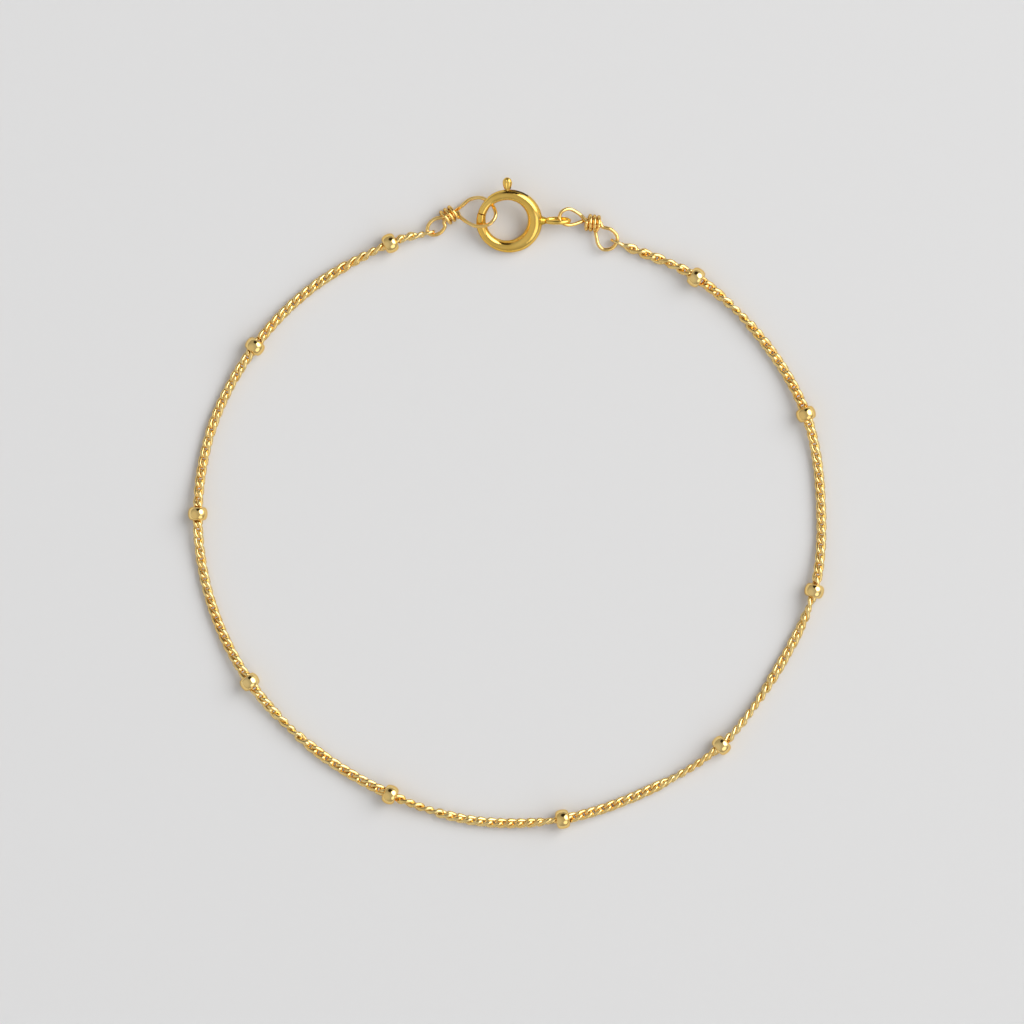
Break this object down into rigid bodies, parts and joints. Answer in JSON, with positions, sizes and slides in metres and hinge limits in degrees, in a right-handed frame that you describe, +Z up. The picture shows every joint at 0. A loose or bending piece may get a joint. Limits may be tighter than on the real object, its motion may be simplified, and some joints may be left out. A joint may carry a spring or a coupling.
{
  "type": "satellite chain anklet",
  "caption": "Fine gold chain anklet with small round beads at even spaces, wrapped-wire end links and a spring-ring clasp.",
  "frame": {"origin": "on the surface that the anklet lies on, at the middle of its bounding box, inside the loop", "axes": "+Z up from the surface, across the loop's plane; +Y from the middle of the loop towards the clasp; +X to the right seen from above"},
  "size_m": [0.0745, 0.0761, 0.0036],
  "materials": {
    "chain_gold": "bright gold-filled wire, fine links",
    "bead_gold": "mirror-polished gold-filled bead",
    "clasp_gold": "polished gold-filled clasp with a fine drawn grain",
    "wire_gold": "polished gold-filled wire"
  },
  "bodies": {
    "anklet": {"chain": "chain_gold", "end_link_left": "chain_gold", "end_link_right": "chain_gold", "bead_01": "bead_gold", "bead_02": "bead_gold", "bead_03": "bead_gold", "bead_04": "bead_gold", "bead_05": "bead_gold", "bead_06": "bead_gold", "bead_07": "bead_gold", "bead_08": "bead_gold", "bead_09": "bead_gold", "bead_10": "bead_gold", "wire_link_left": "wire_gold", "wire_link_right": "wire_gold", "clasp_ring": "clasp_gold"},
    "bolt": {"clasp_bolt": "clasp_gold"}
  },
  "joints": [
    {"name": "bolt_slide", "type": "hinge", "parent": "anklet", "child": "bolt", "pos_m": [0.00011, 0.03312, 0.00171], "axis": [0, -0.309, 0.9511], "range_deg": [-33, 0], "stiffness_Nm_per_rad": 0.002, "springref_deg": 8.59}
  ]
}
